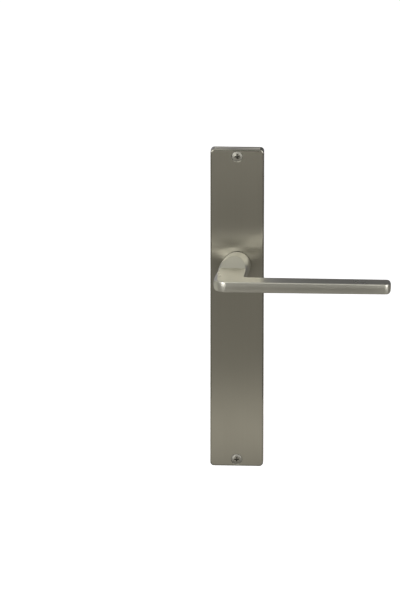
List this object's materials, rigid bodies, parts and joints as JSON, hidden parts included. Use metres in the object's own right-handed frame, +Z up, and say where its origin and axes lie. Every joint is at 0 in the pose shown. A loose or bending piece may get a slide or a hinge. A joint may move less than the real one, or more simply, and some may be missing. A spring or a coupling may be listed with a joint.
{
  "type": "lever door handle on backplate",
  "caption": "Straight satin metal lever handle on a long narrow backplate, sprung to return, with a square spindle and countersunk wood screws.",
  "frame": {"origin": "on the spindle's turning axis where it meets the door's face", "axes": "+X along the lever towards its tip, +Y into the door, +Z up"},
  "size_m": [0.1418, 0.1166, 0.261],
  "materials": {
    "plate_nickel": "satin nickel, brushed upright",
    "lever_nickel": "satin nickel, brushed along the grip",
    "screw_nickel": "nickel plated",
    "bearing_polymer": "black acetal",
    "steel_zinc": "zinc plated",
    "steel_dark": "blackened spring steel"
  },
  "bodies": {
    "plate_body": {"backplate": "plate_nickel", "neck_bush": "bearing_polymer", "thrust_washer": "bearing_polymer", "cover": "steel_zinc", "cover_screws": "steel_zinc", "return_spring": "steel_dark", "screw_upper": "screw_nickel", "screw_lower": "screw_nickel"},
    "lever_body": {"lever": "lever_nickel", "spindle": "steel_zinc", "grub_screw": "steel_dark", "drive_plate": "steel_zinc", "rear_washer": "steel_zinc", "circlip": "steel_dark"}
  },
  "joints": [
    {"name": "lever_turn", "type": "hinge", "parent": "plate_body", "child": "lever_body", "pos_m": [0, 0, 0], "axis": [0, 1, 0], "range_deg": [0, 45], "stiffness_Nm_per_rad": 0.4, "springref_deg": -28.65, "deforming": ["return_spring"]}
  ]
}
